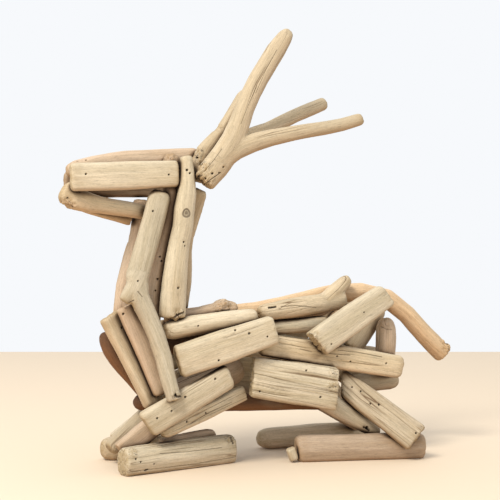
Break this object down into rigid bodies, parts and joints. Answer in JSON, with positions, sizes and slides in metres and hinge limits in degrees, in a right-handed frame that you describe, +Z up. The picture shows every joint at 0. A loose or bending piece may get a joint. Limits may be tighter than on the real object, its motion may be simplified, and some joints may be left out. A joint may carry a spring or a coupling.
{
  "type": "driftwood deer figurine",
  "caption": "Resting deer figurine put together from worn driftwood sticks and slats, with forked antlers, folded legs and a drooping tail.",
  "frame": {"origin": "middle of the footprint, on the surface the feet rest on", "axes": "+X from the nose to the tail, -Y towards the near flank, +Z up"},
  "size_m": [0.2854, 0.0998, 0.2852],
  "materials": {
    "bleached_wood": "bare, dry, sun-bleached driftwood",
    "pale_wood": "bare, dry, pale worn driftwood",
    "pink_wood": "bare, dry, pinkish tan driftwood",
    "warm_wood": "bare, dry, honey-brown driftwood",
    "grey_wood": "bare, dry, weathered grey driftwood",
    "bark_wood": "bare, dry, dark brown driftwood"
  },
  "bodies": {
    "root": {"spine_and_tail": "warm_wood", "inner_shoulder_stick": "bark_wood", "belly_stick": "bark_wood", "inner_elbow_stick": "pink_wood", "hip_peg": "pink_wood", "inner_hip_stick": "grey_wood", "inner_rump_stick": "grey_wood", "crown_stick": "pink_wood", "near_jaw_stick": "pale_wood", "far_jaw_slat": "warm_wood", "middle_neck_stick": "pink_wood", "far_nape_slat": "pale_wood", "far_antler": "pale_wood", "near_antler": "pale_wood", "burr_stick": "pink_wood", "withers_stick": "bleached_wood", "far_chest_slat": "pale_wood", "far_chest_stick": "bark_wood", "lower_chest_slat": "pale_wood", "upper_chest_slat": "pink_wood", "near_knee_slat": "pink_wood", "lower_foreleg_slat": "bleached_wood", "upper_foreleg_slat": "bleached_wood", "near_front_foot": "bleached_wood", "near_wrist_stick": "pink_wood", "near_throat_fork": "bleached_wood", "far_throat_stick": "pink_wood", "far_throat_sliver": "warm_wood", "near_nape_slat": "bleached_wood", "near_cheek_slat": "bleached_wood", "far_cheek_slat": "pink_wood", "loin_fork": "pale_wood", "loin_stick": "bleached_wood", "flank_slat": "pale_wood", "haunch_slat": "bleached_wood", "belly_slat": "bleached_wood", "inner_thigh_slat": "pale_wood", "near_thigh_stick": "bleached_wood", "near_hind_foot": "pink_wood", "near_shank_slat": "grey_wood", "hind_foot_chip": "bleached_wood", "shoulder_slat": "bleached_wood", "far_shin_stick": "grey_wood", "far_elbow_slat": "pale_wood", "far_knee_slat": "bleached_wood", "far_lower_foreleg_slat": "pink_wood", "far_upper_foreleg_slat": "pale_wood", "far_front_foot": "pale_wood", "far_withers_stick": "pale_wood", "far_loin_stick": "pink_wood", "far_flank_slat": "bleached_wood", "far_hip_stick": "pink_wood", "far_haunch_slat": "pale_wood", "far_thigh_stick": "pink_wood", "far_hind_foot": "grey_wood", "far_shank_slat": "grey_wood", "far_belly_slat": "bleached_wood", "far_shoulder_slat": "bleached_wood"}
  },
  "joints": []
}
